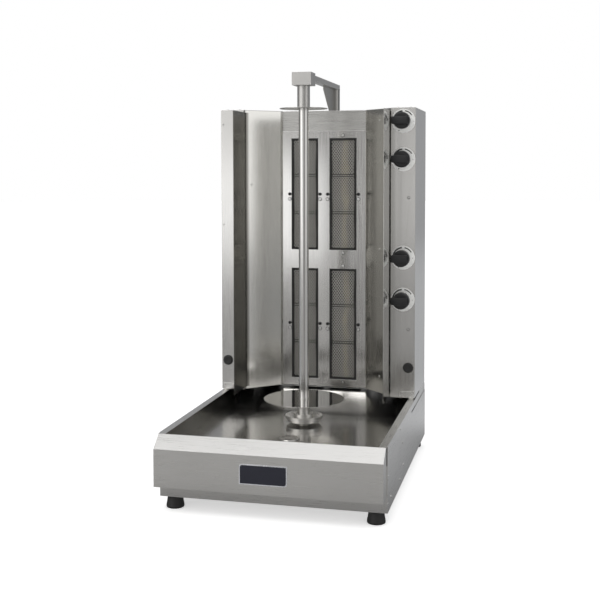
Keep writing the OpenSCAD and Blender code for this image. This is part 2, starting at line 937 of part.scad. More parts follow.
module gas_inlet() {
    color("goldenrod")
        difference() {
            union() {
                rod_y(rail_x, inlet_z, inlet_r, y_tower_back - sheet - 8, y_tower_back + 34);
                translate([rail_x, y_tower_back + 10, inlet_z])
                    rotate([90, 0, 0]) cylinder(r = 15, h = 10, $fn = 6);
            }
            rod_y(rail_x, inlet_z, 7, y_tower_back - 20, y_tower_back + 40);
        }
}

// A screw head on a face that looks to the front.
module face_screw(x, y, z, r) {
    rod_y(x, z, r, y - 1.2, y);
    rod_y(x, z, r * 0.75, y - 2.6, y - 1.2);
}

module tower_screws() {
    color("whitesmoke") {
        for (w = WINDOWS) {
            for (s = [-1, 1])
                face_screw(w[0], y_panel, w[1] + s * (window_h / 2 + 10), screw_r);
            for (s = [-1, 1])
                face_screw(w[0] + s * (window_w / 2 + 7), y_panel, w[1] - 18, screw_r);
        }
        for (x = [x_tower - 42, x_tower - 11])
            both_sides()
                face_screw(x, y_tower - sheet, z_tower + 4 + bracket_h / 2, screw_r - 1);
        for (i = [0:4]) {
            z = wing_screw_z + i * wing_screw_pitch;
            s = i % 2 == 0 ? 18 : 58;
            wing_screw(wing_right_offset + s, z);
            mirror([1, 0, 0]) wing_screw(wing_left_offset + s, z);
        }
    }
}

// A small screw head on a wing's leg, at a distance along the reflector.
module wing_screw(s, z) {
    translate([reflector_in[0], reflector_in[1], z])
        rotate([0, 0, reflector_angle])
            translate([s, -sheet, 0])
                rotate([90, 0, 0])
                    cylinder(r = 3.5, h = 1.5);
}

module dial_plates() {
    color("whitesmoke")
        for (z = KNOB_ZS)
            difference() {
                rod_y(knob_x, z, dial_d / 2, y_tower - dial_t, y_tower);
                rod_y(knob_x, z, stem_d / 2 + 3, y_tower - 10, y_tower + 1);
            }
}

module hole_plugs() {
    color("black")
        both_sides() {
            rod_y(x_tower - 23, plug_z, plug_r, y_tower - 5, y_tower);
            rod_y(x_tower - 23, plug_z, plug_r - 3, y_tower, y_tower + 6);
        }
}

// Low-friction pads under the tower, which rest on the rims and the rear deck.
module glide_pads() {
    x0 = x_tower - 20;
    color("ivory")
        both_sides()
            for (y = [y_tower + 2, y_tower_back - 40])
                block([x0, y, z_rim + 0.2], [x0 + 14, y + 22, z_tower]);
}

module valve_stem(i) {
    color("lightgray")
        rod_y(knob_x, KNOB_ZS[i], stem_d / 2, stem_tip, valve_front + 35);
}

module valve_stem_1() { valve_stem(0); }
module valve_stem_2() { valve_stem(1); }
module valve_stem_3() { valve_stem(2); }
module valve_stem_4() { valve_stem(3); }

// Round knob with a raised grip that points to the left.
module knob(i) {
    z = KNOB_ZS[i];
    color("black")
        difference() {
            union() {
                rod_y(knob_x, z, knob_d / 2, knob_face, knob_face + knob_t);
                rod_y(knob_x, z, knob_collar_r, knob_face + knob_t, knob_back);
                block([knob_x - grip_tip + grip_w / 2, knob_face - grip_h, z - grip_w / 2],
                      [knob_x + knob_d / 2 - 6, knob_face + knob_t - 2, z + grip_w / 2]);
                rod_y(knob_x - grip_tip + grip_w / 2, z, grip_w / 2, knob_face - grip_h,
                      knob_face + knob_t - 2);
            }
            rod_y(knob_x, z, stem_d / 2 + run_gap, stem_tip - 1, knob_back + 5);
        }
}

module knob_1() { knob(0); }
module knob_2() { knob(1); }
module knob_3() { knob(2); }
module knob_4() { knob(3); }

base_side_left();
base_side_right();
base_front_panel();
base_back_panel();
base_bottom_pan();
rear_deck();
drip_tray();
front_apron();
badge_plate();
rubber_feet();
foot_studs();
motor_bracket();
gearbox();
drive_motor();
shaft_bearing();
shaft_seal();
support_post();
post_brackets();
support_arm();
arm_web();
head_block();
head_sleeve();
sleeve_bush();
heat_shield_disc();
cable_gland();
base_rivets();
drive_shaft();
drive_hub();
spit_tube();
spit_tongue();
meat_plate();
tower_box_left();
control_box();
tower_runners();
tower_top_cap();
tower_back_cover();
burner_panel();
header_panel();
reflector_left();
reflector_right();
wing_left();
wing_right();
burner_housings();
burner_tiles();
burner_screens();
gas_valves();
gas_rail();
gas_inlet();
tower_screws();
dial_plates();
hole_plugs();
glide_pads();
valve_stem_1();
valve_stem_2();
valve_stem_3();
valve_stem_4();
knob_1();
knob_2();
knob_3();
knob_4();
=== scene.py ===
"""Looks for an upright gas roasting grill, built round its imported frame. Metres throughout."""
import math

import bmesh
import bpy
from mathutils import Matrix, Vector


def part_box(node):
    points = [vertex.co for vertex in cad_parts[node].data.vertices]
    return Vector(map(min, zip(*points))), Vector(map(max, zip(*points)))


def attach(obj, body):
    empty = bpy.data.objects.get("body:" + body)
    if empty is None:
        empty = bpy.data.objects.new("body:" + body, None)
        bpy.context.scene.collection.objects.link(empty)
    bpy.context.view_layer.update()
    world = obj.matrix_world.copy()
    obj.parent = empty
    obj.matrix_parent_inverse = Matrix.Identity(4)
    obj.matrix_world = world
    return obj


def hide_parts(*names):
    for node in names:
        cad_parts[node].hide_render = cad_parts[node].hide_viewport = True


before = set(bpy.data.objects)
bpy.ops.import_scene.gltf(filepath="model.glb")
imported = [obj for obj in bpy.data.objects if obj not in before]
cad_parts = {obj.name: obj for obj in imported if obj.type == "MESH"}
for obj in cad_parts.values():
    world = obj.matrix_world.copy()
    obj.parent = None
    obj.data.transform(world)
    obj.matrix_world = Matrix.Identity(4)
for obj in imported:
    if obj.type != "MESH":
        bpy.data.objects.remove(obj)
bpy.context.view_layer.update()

MM = 0.001
FRONT = Vector((0, -1, 0))
BACK = Vector((0, 1, 0))
UP = Vector((0, 0, 1))


# ---------------------------------------------------------------- materials

def shader(name, metallic, roughness, coat=0.0):
    """A material with a bare Principled surface, its node tree and its surface node."""
    material = bpy.data.materials.new(name)
    material.use_nodes = True
    tree = material.node_tree
    surface = tree.nodes["Principled BSDF"]
    surface.inputs["Metallic"].default_value = metallic
    surface.inputs["Roughness"].default_value = roughness
    surface.inputs["Coat Weight"].default_value = coat
    return material, tree, surface


def stretched_noise(tree, stretch, scale, detail=6.0):
    """Noise in the object's own metres, with each axis stretched by its own factor."""
    coords = tree.nodes.new("ShaderNodeTexCoord")
    mapping = tree.nodes.new("ShaderNodeMapping")
    mapping.inputs["Scale"].default_value = stretch
    noise = tree.nodes.new("ShaderNodeTexNoise")
    noise.inputs["Scale"].default_value = scale
    noise.inputs["Detail"].default_value = detail
    tree.links.new(coords.outputs["Object"], mapping.inputs["Vector"])
    tree.links.new(mapping.outputs["Vector"], noise.inputs["Vector"])
    return noise.outputs["Fac"]


def ring_noise(tree, axis_xy, scale):
    """Noise that changes only with the distance from an upright axis, as on a turned face."""
    coords = tree.nodes.new("ShaderNodeTexCoord")
    offset = tree.nodes.new("ShaderNodeVectorMath")
    offset.operation = "SUBTRACT"
    offset.inputs[1].default_value = (axis_xy[0], axis_xy[1], 0)
    flatten = tree.nodes.new("ShaderNodeVectorMath")
    flatten.operation = "MULTIPLY"
    flatten.inputs[1].default_value = (1, 1, 0)
    length = tree.nodes.new("ShaderNodeVectorMath")
    length.operation = "LENGTH"
    noise = tree.nodes.new("ShaderNodeTexNoise")
    noise.noise_dimensions = "1D"
    noise.inputs["Scale"].default_value = scale
    noise.inputs["Detail"].default_value = 5.0
    tree.links.new(coords.outputs["Object"], offset.inputs[0])
    tree.links.new(offset.outputs[0], flatten.inputs[0])
    tree.links.new(flatten.outputs[0], length.inputs[0])
    tree.links.new(length.outputs["Value"], noise.inputs["W"])
    return noise.outputs["Fac"]


def ramp(tree, factor, stops):
    """A colour that follows a factor through (place, colour) stops."""
    node = tree.nodes.new("ShaderNodeValToRGB")
    elements = node.color_ramp.elements
    while len(elements) < len(stops):
        elements.new(0.5)
    for element, (place, colour) in zip(elements, stops):
        element.position = place
        element.color = (*colour, 1)
    tree.links.new(factor, node.inputs["Fac"])
    return node.outputs["Color"]


def spread(tree, factor, low, high, from_low=0.3, from_high=0.7):
    """A factor mapped to a range of values."""
    node = tree.nodes.new("ShaderNodeMapRange")
    node.inputs["From Min"].default_value = from_low
    node.inputs["From Max"].default_value = from_high
    node.inputs["To Min"].default_value = low
    node.inputs["To Max"].default_value = high
    tree.links.new(factor, node.inputs["Value"])
    return node.outputs["Result"]


def blend_colours(tree, factor, a, b, mode="MIX"):
    """Two colours mixed, or multiplied, by a fixed or a varying factor."""
    node = tree.nodes.new("ShaderNodeMix")
    node.data_type = "RGBA"
    node.blend_type = mode
    if isinstance(factor, float):
        node.inputs["Factor"].default_value = factor
    else:
        tree.links.new(factor, node.inputs["Factor"])
    tree.links.new(a, node.inputs["A"])
    tree.links.new(b, node.inputs["B"])
    return node.outputs["Result"]


def math_node(tree, operation, *inputs):
    """One arithmetic step on numbers and sockets."""
    node = tree.nodes.new("ShaderNodeMath")
    node.operation = operation
    for socket, value in zip(node.inputs, inputs):
        if isinstance(value, (int, float)):
            socket.default_value = value
        else:
            tree.links.new(value, socket)
    return node.outputs[0]


def smooth_step(tree, value, low, high, start=0.0, end=1.0):
    """A value that eases from start to end as another goes from low to high."""
    node = tree.nodes.new("ShaderNodeMapRange")
    node.interpolation_type = "SMOOTHSTEP"
    node.inputs["From Min"].default_value = low
    node.inputs["From Max"].default_value = high
    node.inputs["To Min"].default_value = start
    node.inputs["To Max"].default_value = end
    tree.links.new(value, node.inputs["Value"])
    return node.outputs["Result"]


def bump(tree, surface, height, strength, distance):
    """Relief on a surface, of a strength and a depth in metres."""
    node = tree.nodes.new("ShaderNodeBump")
    node.inputs["Strength"].default_value = strength
    node.inputs["Distance"].default_value = distance
    tree.links.new(height, node.inputs["Height"])
    tree.links.new(node.outputs["Normal"], surface.inputs["Normal"])


def shades(colour, low, high):
    """Two shades of one colour, as the ends of a ramp."""
    return [(0.3, tuple(c * low for c in colour)), (0.7, tuple(c * high for c in colour))]


BRUSHED = {"x": (1.2, 90, 90), "y": (90, 1.2, 90), "z": (90, 90, 1.2)}


def brushed_steel(name, along, colour, roughness, relief=0.04, variation=0.03):
    """Rolled stainless sheet, brushed along one axis, with faint handling marks."""
    material, tree, surface = shader(name, 1.0, roughness)
    streaks = stretched_noise(tree, BRUSHED[along], 9.0)
    smudges = stretched_noise(tree, (1, 1, 1), 3.2, 3.0)
    fine = ramp(tree, streaks, shades(colour, 1 - variation, 1 + variation))
    broad = ramp(tree, smudges, shades((1, 1, 1), 0.95, 1.0))
    tree.links.new(blend_colours(tree, 1.0, fine, broad, "MULTIPLY"), surface.inputs["Base Color"])
    tree.links.new(spread(tree, streaks, roughness - 0.04, roughness + 0.05), surface.inputs["Roughness"])
    bump(tree, surface, streaks, relief, 0.0002)
    return material


def sheet_with_painted_shade(name, colour, roughness, shade, darkest_x, unshaded_x):
    """Brushed sheet with painted shade along X: slightly warm and darkened to the shade factor below the
    first X given, plain from the second X on.
    """
    material = brushed_steel(name, "z", colour, roughness, relief=0.02)
    tree = material.node_tree
    surface = tree.nodes["Principled BSDF"]
    coords = tree.nodes.new("ShaderNodeTexCoord")
    xyz = tree.nodes.new("ShaderNodeSeparateXYZ")
    tree.links.new(coords.outputs["Object"], xyz.inputs[0])
    edge = smooth_step(tree, xyz.outputs["X"], darkest_x, unshaded_x)
    tint = ramp(tree, edge, [(0.0, (shade, shade * 0.985, shade * 0.95)), (1.0, (1, 1, 1))])
    unshaded = surface.inputs["Base Color"].links[0].from_socket
    tree.links.new(blend_colours(tree, 1.0, unshaded, tint, "MULTIPLY"), surface.inputs["Base Color"])
    return material


def turned_steel(name, axis_xy, colour, roughness):
    """Machined steel with rings round an upright axis."""
    material, tree, surface = shader(name, 1.0, roughness)
    rings = ring_noise(tree, axis_xy, 1800.0)
    tree.links.new(ramp(tree, rings, shades(colour, 0.9, 1.06)), surface.inputs["Base Color"])
    tree.links.new(spread(tree, rings, roughness - 0.05, roughness + 0.06), surface.inputs["Roughness"])
    bump(tree, surface, rings, 0.12, 0.0002)
    return material


def polished_sheet(name, colour, roughness):
    """Bright sheet with the faint scratches and dull patches of use."""
    material, tree, surface = shader(name, 1.0, roughness)
    patches = stretched_noise(tree, (1, 1, 1), 5.0, 4.0)
    scratches = stretched_noise(tree, (60, 4, 60), 12.0, 8.0)
    tree.links.new(ramp(tree, patches, shades(colour, 0.9, 1.05)), surface.inputs["Base Color"])
    tree.links.new(spread(tree, patches, roughness * 0.7, roughness * 1.6), surface.inputs["Roughness"])
    bump(tree, surface, scratches, 0.05, 0.0002)
    return material


def speckled(name, colour, roughness, grain, depth, metallic=0.0, coat=0.0, low=0.8, high=1.15):
    """Moulded, cast or painted surface with a fine grain and slightly uneven colour."""
    material, tree, surface = shader(name, metallic, roughness, coat)
    fine = stretched_noise(tree, (1, 1, 1), grain)
    broad = stretched_noise(tree, (1, 1, 1), grain / 30, 3.0)
    tone = ramp(tree, fine, shades(colour, low, high))
    worn = ramp(tree, broad, shades((1, 1, 1), 0.9, 1.0))
    tree.links.new(blend_colours(tree, 1.0, tone, worn, "MULTIPLY"), surface.inputs["Base Color"])
    tree.links.new(spread(tree, broad, roughness - 0.05, roughness + 0.07), surface.inputs["Roughness"])
    bump(tree, surface, fine, 0.25, depth)
    return material


def ceramic(name):
    """Fired tile with rows of burner holes, and a painted warm highlight in an upright band."""
    material, tree, surface = shader(name, 0.0, 0.9)
    coords = tree.nodes.new("ShaderNodeTexCoord")
    holes = tree.nodes.new("ShaderNodeTexVoronoi")
    holes.inputs["Scale"].default_value = 330.0
    holes.inputs["Randomness"].default_value = 0.25
    tree.links.new(coords.outputs["Object"], holes.inputs["Vector"])
    xyz = tree.nodes.new("ShaderNodeSeparateXYZ")
    tree.links.new(coords.outputs["Object"], xyz.inputs[0])
    waver = stretched_noise(tree, (1, 1, 1), 9.0, 3.0)
    # Painted highlight: a warm, patchy upright band near X = 0.104 m that wavers a little, mixed into the
    # tile's colour.
    place = math_node(tree, "MULTIPLY_ADD", waver, 0.05, math_node(tree, "SUBTRACT", xyz.outputs["X"], 0.104))
    highlight_band = smooth_step(tree, math_node(tree, "ABSOLUTE", place), 0.002, 0.02, 1.0, 0.0)
    glow = math_node(tree, "MULTIPLY", highlight_band, stretched_noise(tree, (4, 1, 2.2), 9.0, 3.0))
    body = ramp(tree, glow, [(0.1, (0.05, 0.05, 0.047)), (0.62, (0.4, 0.33, 0.2))])
    # Painted shade in the burner holes: each hole is darkened towards its centre.
    pits = ramp(tree, holes.outputs["Distance"], [(0.0, (0.25, 0.25, 0.25)), (0.35, (1, 1, 1))])
    tree.links.new(blend_colours(tree, 1.0, body, pits, "MULTIPLY"), surface.inputs["Base Color"])
    bump(tree, surface, holes.outputs["Distance"], 0.6, 0.0006)
    return material


spit_low, spit_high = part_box("spit_tube")
SPIT = Vector(((spit_low.x + spit_high.x) / 2, (spit_low.y + spit_high.y) / 2, 0))
STEEL = (0.74, 0.733, 0.718)
BRIGHT = (0.86, 0.855, 0.83)
LEFT_FLANGE_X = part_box("wing_left")[0].x
FLANGE_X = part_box("wing_right")[1].x

M = {
    "sheet_x": brushed_steel("satin_sheet_across", "x", STEEL, 0.30, relief=0.015, variation=0.02),
    "sheet_y": brushed_steel("satin_sheet_deep", "y", STEEL, 0.30, relief=0.015, variation=0.02),
    "sheet_z": brushed_steel("satin_sheet_upright", "z", STEEL, 0.21),
    "panel": brushed_steel("panel_sheet", "z", STEEL, 0.15, relief=0.02),
    "header": brushed_steel("header_sheet", "x", (0.54, 0.535, 0.52), 0.28, variation=0.12),
    "reflector_left": brushed_steel("left_reflector_sheet", "z", BRIGHT, 0.15, relief=0.02),
    # Painted shade: the right reflector and both wings are darker on one side of a flange, fading out over a
    # few millimetres.
    "reflector_right": sheet_with_painted_shade("right_reflector_sheet", BRIGHT, 0.14, 0.62,
                                    FLANGE_X - 3 * MM, FLANGE_X + 2 * MM),
    "wing_left": sheet_with_painted_shade("left_wing_sheet", BRIGHT, 0.15, 0.32,
                              LEFT_FLANGE_X + 3 * MM, LEFT_FLANGE_X + 12 * MM),
    "wing_right": sheet_with_painted_shade("right_wing_sheet", BRIGHT, 0.12, 0.62,
                               FLANGE_X - 12 * MM, FLANGE_X - 3 * MM),
    "post": brushed_steel("post_steel", "z", (0.42, 0.415, 0.4), 0.3),
    "arm": brushed_steel("arm_steel", "y", (0.58, 0.573, 0.56), 0.34),
    "tray": brushed_steel("tray_sheet", "x", (0.6, 0.59, 0.57), 0.18, relief=0.02, variation=0.05),
    "plate": polished_sheet("plate_sheet", (0.72, 0.71, 0.69), 0.05),
    "turned": turned_steel("turned_steel", SPIT, (0.56, 0.55, 0.53), 0.24),
    "hub": turned_steel("hub_steel", SPIT, (0.78, 0.77, 0.75), 0.27),
    "tube": brushed_steel("spit_steel", "z", (0.8, 0.79, 0.775), 0.18),
    "sleeve": brushed_steel("sleeve_steel", "z", (0.6, 0.592, 0.577), 0.36),
    "bright": speckled("bright_fasteners", (0.78, 0.775, 0.76), 0.22, 900, 0.0001, metallic=1.0),
    "screen": speckled("screen_wire", (0.5, 0.49, 0.46), 0.5, 700, 0.0001, metallic=0.3),
    "scorched_and_shade": speckled("scorched_steel", (0.012, 0.0115, 0.011), 0.6, 500, 0.0002),
    "tile": ceramic("ceramic_tile"),
    "rubber": speckled("foot_rubber", (0.014, 0.014, 0.014), 0.55, 700, 0.0002),
    "knob": speckled("knob_black", (0.009, 0.0095, 0.0105), 0.42, 900, 0.0001),
    "dial": speckled("dial_white", (0.82, 0.82, 0.8), 0.3, 500, 0.00005, coat=0.2, low=0.96, high=1.03),
    "ink": speckled("dial_ink", (0.02, 0.02, 0.02), 0.4, 500, 0.00005),
    "enamel": speckled("badge_enamel", (0.008, 0.009, 0.02), 0.5, 400, 0.00005),
    "border": speckled("badge_border", (0.62, 0.63, 0.66), 0.3, 500, 0.00005, metallic=0.6),
    "casting": speckled("gear_casting", (0.25, 0.26, 0.27), 0.5, 300, 0.0004, metallic=0.6),
    "motor": speckled("motor_paint", (0.04, 0.055, 0.07), 0.4, 400, 0.0002, coat=0.3),
    "grey": speckled("grey_plate", (0.2, 0.2, 0.2), 0.5, 300, 0.0002, metallic=0.7),
    "bronze": speckled("bronze", (0.5, 0.36, 0.18), 0.3, 500, 0.0001, metallic=1.0),
    "brass": speckled("brass", (0.72, 0.56, 0.25), 0.28, 500, 0.0001, metallic=1.0),
    "pipe": speckled("aluminium_pipe", (0.7, 0.7, 0.7), 0.35, 400, 0.0001, metallic=1.0),
    "black_nylon": speckled("black_nylon", (0.02, 0.02, 0.02), 0.45, 600, 0.0001),
    "white_nylon": speckled("white_nylon", (0.78, 0.77, 0.72), 0.45, 500, 0.0001),
}

FINISH = {
    "sheet_x": ["base_front_panel", "base_back_panel", "base_bottom_pan", "rear_deck", "front_apron"],
    "sheet_y": ["base_side_left", "base_side_right", "tower_top_cap", "tower_runners"],
    "sheet_z": ["tower_box_left", "control_box", "tower_back_cover"],
    "reflector_left": ["reflector_left"],
    "reflector_right": ["reflector_right"],
    "panel": ["burner_panel"],
    "header": ["header_panel"],
    "wing_left": ["wing_left"],
    "wing_right": ["wing_right"],
    "post": ["support_post", "arm_web", "post_brackets"],
    "arm": ["support_arm", "head_block"],
    "tray": ["drip_tray"],
    "plate": ["meat_plate"],
    "hub": ["drive_hub"],
    "turned": ["drive_shaft", "heat_shield_disc", "shaft_bearing", "spit_tongue"],
    "tube": ["spit_tube"],
    "sleeve": ["head_sleeve"],
    "bright": ["tower_screws", "base_rivets", "foot_studs"] + [f"valve_stem_{i}" for i in range(1, 5)],
    "grey": ["motor_bracket", "burner_housings"],
    "casting": ["gearbox"],
    "motor": ["drive_motor"],
    "bronze": ["sleeve_bush"],
    "brass": ["gas_valves", "gas_inlet"],
    "pipe": ["gas_rail"],
    "rubber": ["shaft_seal", "rubber_feet", "hole_plugs"],
    "border": ["badge_plate"],
    "black_nylon": ["cable_gland"],
    "white_nylon": ["glide_pads"],
    "tile": ["burner_tiles"],
    "screen": ["burner_screens"],
    "dial": ["dial_plates"],
    "knob": [f"knob_{i}" for i in range(1, 5)],
}


def soften(node, width, angle=30):
    """Merges a CAD node's faces at their edges, rounds the edges and keeps the flats flat."""
    weld = node.modifiers.new("weld", "WELD")
    weld.merge_threshold = 0.00001
    bevel = node.modifiers.new("bevel", "BEVEL")
    bevel.width = width
    bevel.segments = 2
    bevel.limit_method = "ANGLE"
    bevel.angle_limit = math.radians(angle)
    normals = node.modifiers.new("normals", "WEIGHTED_NORMAL")
    normals.weight = 90


for finish, names in FINISH.items():
    for name in names:
        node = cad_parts[name]
        node.data.materials.clear()
        node.data.materials.append(M[finish])

THIN = 0.4 * MM
SOLID = 0.8 * MM
ROUNDED = {
    "head_block": 1.5 * MM,
    "support_arm": 1.5 * MM,
    "drive_hub": 1.0 * MM,
    "gearbox": 3.0 * MM,
    "drive_motor": 3.0 * MM,
    "arm_web": 1.0 * MM,
    "gas_valves": 1.5 * MM,
}
PLAIN = {"burner_tiles", "burner_screens", "burner_housings", "gas_rail"}
for name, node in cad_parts.items():
    if name not in PLAIN:
        soften(node, ROUNDED.get(name, SOLID if name.startswith("valve") else THIN))


# ---------------------------------------------------------------- shapes

def finish_piece(name, mesh_maker, material, body, replaces=(), smooth=True, bevel=0.0):
    """Turns a bmesh into a piece that rides on a body, with its material, and hides the CAD nodes it
    replaces.
    """
    mesh = bpy.data.meshes.new(name)
    mesh_maker.normal_update()
    mesh_maker.to_mesh(mesh)
    mesh_maker.free()
    piece = bpy.data.objects.new(name, mesh)
    bpy.context.scene.collection.objects.link(piece)
    mesh.materials.append(M[material])
    for polygon in mesh.polygons:
        polygon.use_smooth = smooth
    if bevel:
        soften(piece, bevel)
    elif smooth:
        split = piece.modifiers.new("edges", "EDGE_SPLIT")
        split.split_angle = math.radians(35)
    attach(piece, body)
    if replaces:
        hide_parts(*replaces)
    return piece


def aim(direction):
    """A rotation that turns +Z to a direction."""
    return Vector(direction).to_track_quat("Z", "Y").to_matrix().to_4x4()


def add_lathe(bm, profile, place, direction=UP, segments=48):
    """A profile of (radius, height) points turned round an axis through a place."""
    matrix = Matrix.Translation(place) @ aim(direction)
    rings = []
    for radius, height in profile:
        if radius == 0:
            rings.append([bm.verts.new(matrix @ Vector((0, 0, height)))])
            continue
        turns = (2 * math.pi * i / segments for i in range(segments))
        rings.append([bm.verts.new(matrix @ Vector((radius * math.cos(t), radius * math.sin(t), height)))
                      for t in turns])
    for low, high in zip(rings, rings[1:]):
        for i in range(segments):
            j = (i + 1) % segments
            if len(low) == 1:
                bm.faces.new((low[0], high[j], high[i]))
            elif len(high) == 1:
                bm.faces.new((low[i], low[j], high[0]))
            else:
                bm.faces.new((low[i], low[j], high[j], high[i]))


def add_block(bm, low, high, round_by=0.0, steps=2):
    """A box between two corners, with its edges rounded."""
    made = bmesh.ops.create_cube(bm, size=1.0)["verts"]
    low, high = Vector(low), Vector(high)
    size = high - low
    for vert in made:
        vert.co = low + Vector(((vert.co.x + 0.5) * size.x, (vert.co.y + 0.5) * size.y,
                                (vert.co.z + 0.5) * size.z))
    if round_by:
        edges = {edge for vert in made for edge in vert.link_edges}
        bmesh.ops.bevel(bm, geom=list(edges), offset=round_by, segments=steps, affect="EDGES", profile=0.5)


def add_plate(bm, outline, y_back, y_front):
    """A flat plate in the XZ plane from an outline, between two depths."""
    behind = [bm.verts.new((x, y_back, z)) for x, z in outline]
    before = [bm.verts.new((x, y_front, z)) for x, z in outline]
    count = len(outline)
    bm.faces.new(before)
    bm.faces.new(list(reversed(behind)))
    for i in range(count):
        j = (i + 1) % count
        bm.faces.new((before[j], before[i], behind[i], behind[j]))
    bmesh.ops.recalc_face_normals(bm, faces=bm.faces)


def add_wire(bm, start, end, radius, sides=5):
    """A straight wire between two points."""
    start, end = Vector(start), Vector(end)
    axis = aim(end - start)
    rings = []
    for point in (start, end):
        rings.append([bm.verts.new(point + axis.to_3x3() @ Vector(
            (radius * math.cos(2 * math.pi * i / sides), radius * math.sin(2 * math.pi * i / sides), 0)))
            for i in range(sides)])
    for i in range(sides):
        j = (i + 1) % sides
        bm.faces.new((rings[0][i], rings[0][j], rings[1][j], rings[1][i]))
    bm.faces.new(list(reversed(rings[0])))
    bm.faces.new(rings[1])


def add_screw(bm, place, direction, radius, height=2.4 * MM):
    """A domed screw head on a washer, with a hexagon recess."""
    washer = 0.8 * MM
    add_lathe(bm, [(0, 0), (radius * 1.25, 0), (radius * 1.25, washer * 0.7), (radius * 1.15, washer),
                   (radius, washer), (radius * 0.97, washer + height * 0.4),
                   (radius * 0.8, washer + height * 0.8), (radius * 0.5, washer + height),
                   (radius * 0.42, washer + height)],
              place, direction, 28)
    matrix_place = Vector(place) + Vector(direction) * (washer + height * 0.45)
    add_lathe(bm, [(radius * 0.46, height * 0.55), (radius * 0.4, 0), (0, 0)], matrix_place, direction, 6)


def arc_outline(centre, inner, outer, start, end, steps=24):
    """The outline of a stretch of ring in the XZ plane, in degrees from the right, upwards."""
    outline = []
    for radius, angles in ((outer, range(steps + 1)), (inner, range(steps, -1, -1))):
        for i in angles:
            t = math.radians(start + (end - start) * i / steps)
            outline.append((centre.x + radius * math.cos(t), centre.z + radius * math.sin(t)))
    return outline


def solids(name):
    """The lowest and highest corner of each separate solid of a CAD node, from low to high."""
    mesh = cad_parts[name].data
    keys = [tuple(round(c * 1e5) for c in v.co) for v in mesh.vertices]
    parent = {k: k for k in keys}

    def root(k):
        while parent[k] != k:
            parent[k] = parent[parent[k]]
            k = parent[k]
        return k

    for polygon in mesh.polygons:
        first = root(keys[polygon.vertices[0]])
        for v in polygon.vertices[1:]:
            parent[root(keys[v])] = first
    groups = {}
    for vertex, key in zip(mesh.vertices, keys):
        groups.setdefault(root(key), []).append(vertex.co)
    boxes = [(Vector(map(min, zip(*g))), Vector(map(max, zip(*g)))) for g in groups.values()]
    return sorted(boxes, key=lambda b: (round(b[0].z, 3), round(b[0].x, 3)))


def middle(box):
    """The centre of a (lowest corner, highest corner) box."""
    return (box[0] + box[1]) / 2


# ---------------------------------------------------------------- burners

windows = solids("burner_screens")
panel_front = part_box("burner_panel")[0].y
FRAME_W = 7.5 * MM
FRAME_TABS = 30


def screens():
    """Diamond mesh of flattened strands in each window, with a turned-in edge."""
    pitch_x, pitch_z = 9 * MM, 12.5 * MM
    wire = 1.2 * MM
    bm = bmesh.new()
    for low, high in windows:
        y = (low.y + high.y) / 2
        x0, x1 = low.x + FRAME_W - MM, high.x - FRAME_W + MM
        z0, z1 = low.z + FRAME_W - MM, high.z - FRAME_W + MM
        slope = pitch_z / pitch_x
        reach = (x1 - x0) * slope
        count = int((z1 - z0 + reach) / pitch_z) + 1
        for i in range(count):
            start = z0 - reach + i * pitch_z
            a = max(x0, x0 + (z0 - start) / slope)
            b = min(x1, x0 + (z1 - start) / slope)
            if b - a < 2 * MM:
                continue
            za, zb = start + (a - x0) * slope, start + (b - x0) * slope
            add_wire(bm, (a, y, za), (b, y, zb), wire, 4)
            add_wire(bm, (x0 + x1 - a, y, za), (x0 + x1 - b, y, zb), wire, 4)
    finish_piece("burner_mesh", bm, "screen", "tower", ["burner_screens"], smooth=False)


def window_frames():
    """The dark turned-in frame that holds each screen, with its side clips."""
    bm = bmesh.new()
    pins = bmesh.new()
    for low, high in windows:
        y0, y1 = panel_front + 0.4 * MM, high.y + 1.5 * MM
        add_block(bm, (low.x, y0, low.z), (low.x + FRAME_W, y1, high.z), 0.5 * MM)
        add_block(bm, (high.x - FRAME_W, y0, low.z), (high.x, y1, high.z), 0.5 * MM)
        add_block(bm, (low.x + FRAME_W, y0, low.z), (high.x - FRAME_W, y1, low.z + FRAME_W), 0.5 * MM)
        add_block(bm, (low.x + FRAME_W, y0, high.z - FRAME_W), (high.x - FRAME_W, y1, high.z), 0.5 * MM)
        for i in range(FRAME_TABS):
            z = low.z + (i + 0.5) * (high.z - low.z) / FRAME_TABS
            for x in (low.x + FRAME_W, high.x - FRAME_W):
                add_block(bm, (x - 2.5 * MM, y0 + 0.6 * MM, z - 3 * MM),
                          (x + 2.5 * MM, y0 + 1.6 * MM, z + 3 * MM))
        z_mid = (low.z + high.z) / 2
        for x in (low.x - 7 * MM, high.x + 7 * MM):
            add_lathe(pins, [(0, 0), (6 * MM, 0), (6 * MM, 2 * MM), (4.5 * MM, 4.6 * MM), (0, 5.6 * MM)],
                      Vector((x, panel_front, z_mid)), FRONT, 20)
            side = FRAME_W if x < low.x else -FRAME_W
            edge = low.x if x < low.x else high.x
            add_block(pins, (min(x, edge + side), panel_front - 1.2 * MM, z_mid - 2 * MM),
                      (max(x, edge + side), panel_front - 0.1 * MM, z_mid + 2 * MM), 0.3 * MM)
    finish_piece("window_frames", bm, "scorched_and_shade", "tower", smooth=False)
    finish_piece("screen_clips", pins, "scorched_and_shade", "tower")


def tiles():
    """Ceramic tiles with eased edges and a bar over each joint."""
    bm = bmesh.new()
    bars = bmesh.new()
    for low, high in solids("burner_tiles"):
        add_block(bm, low, high, 1.2 * MM)
    for low, high in windows:
        third = (high.z - low.z) / 3
        for i in (1, 2):
            z = low.z + i * third
            for drop, height in ((-5 * MM, 2.6 * MM), (2.4 * MM, 2.6 * MM)):
                add_block(bars, (low.x + FRAME_W, low.y - 0.8 * MM, z + drop),
                          (high.x - FRAME_W, low.y + 0.8 * MM, z + drop + height), 0.5 * MM)
    finish_piece("ceramic_tiles", bm, "tile", "tower", ["burner_tiles"], smooth=False)
    finish_piece("joint_bars", bars, "scorched_and_shade", "tower", smooth=False)


screens()
window_frames()
tiles()


# ---------------------------------------------------------------- controls

